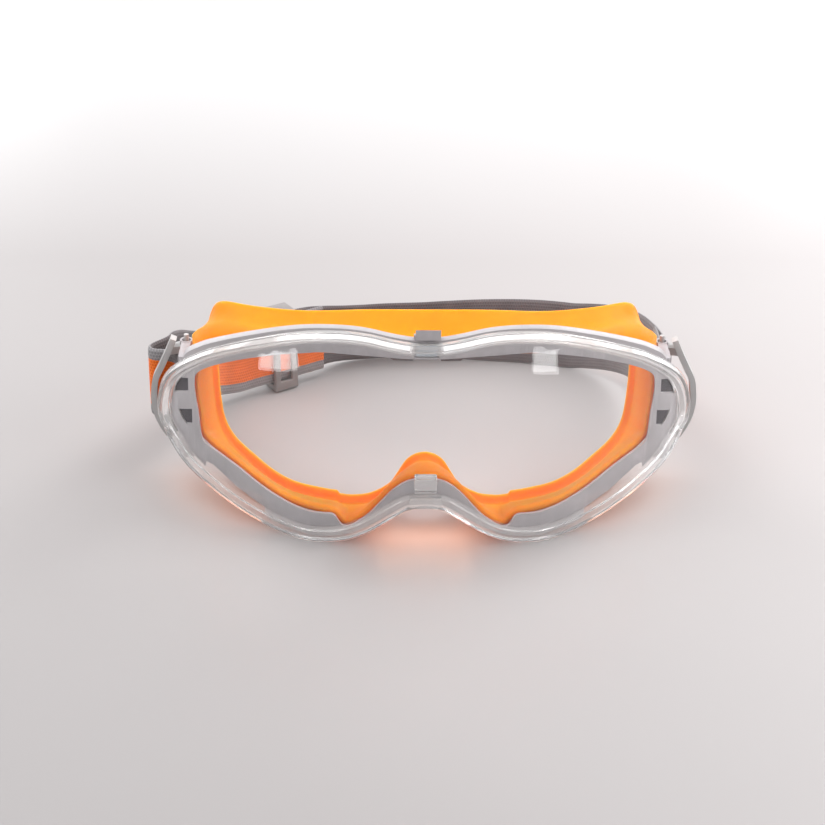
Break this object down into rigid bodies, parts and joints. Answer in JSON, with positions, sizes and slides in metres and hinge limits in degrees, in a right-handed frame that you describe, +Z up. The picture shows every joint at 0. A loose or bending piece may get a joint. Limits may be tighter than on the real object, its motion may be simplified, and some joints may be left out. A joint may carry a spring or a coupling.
{
  "type": "safety goggles",
  "caption": "Panoramic safety goggles with a clear wrap lens, grey frame, orange face seal, swivelling strap clips and an elastic headband.",
  "frame": {"origin": "middle of the footprint, on the surface the goggles stand on", "axes": "+X ear to ear, towards the wearer's left; -Y out through the lens; +Z up"},
  "size_m": [0.1788, 0.1378, 0.0756],
  "materials": {
    "lens": "clear polished polycarbonate",
    "frame": "satin moulded plastic, mid grey",
    "face_seal": "soft satin elastomer, orange",
    "clip": "satin moulded plastic, mid grey",
    "webbing": "woven elastic, grey with an orange centre stripe outside",
    "slider": "satin moulded plastic, grey"
  },
  "bodies": {
    "frame": {"frame": "frame", "face_seal": "face_seal", "headband": "webbing", "headband_tail": "webbing"},
    "lens": {"lens": "lens"},
    "strap_clip_right": {"strap_clip_right": "clip", "headband_loop_right": "webbing"},
    "strap_clip_left": {"strap_clip_left": "clip", "headband_loop_left": "webbing"},
    "strap_slider": {"strap_slider": "slider"}
  },
  "joints": [
    {"name": "lens_release", "type": "slide", "parent": "frame", "child": "lens", "axis": [0, -1, 0], "range_m": [0, 0.012]},
    {"name": "clip_right_swivel", "type": "hinge", "parent": "frame", "child": "strap_clip_right", "pos_m": [-0.0765, -0.0159, 0.034], "axis": [0, 0, -1], "range_deg": [-5, 12]},
    {"name": "clip_left_swivel", "type": "hinge", "parent": "frame", "child": "strap_clip_left", "pos_m": [0.0765, -0.0159, 0.034], "axis": [0, 0, 1], "range_deg": [-5, 12]},
    {"name": "slider_slide", "type": "slide", "parent": "frame", "child": "strap_slider", "axis": [0.8387, 0.5446, 0], "range_m": [-0.006, 0.006]}
  ]
}
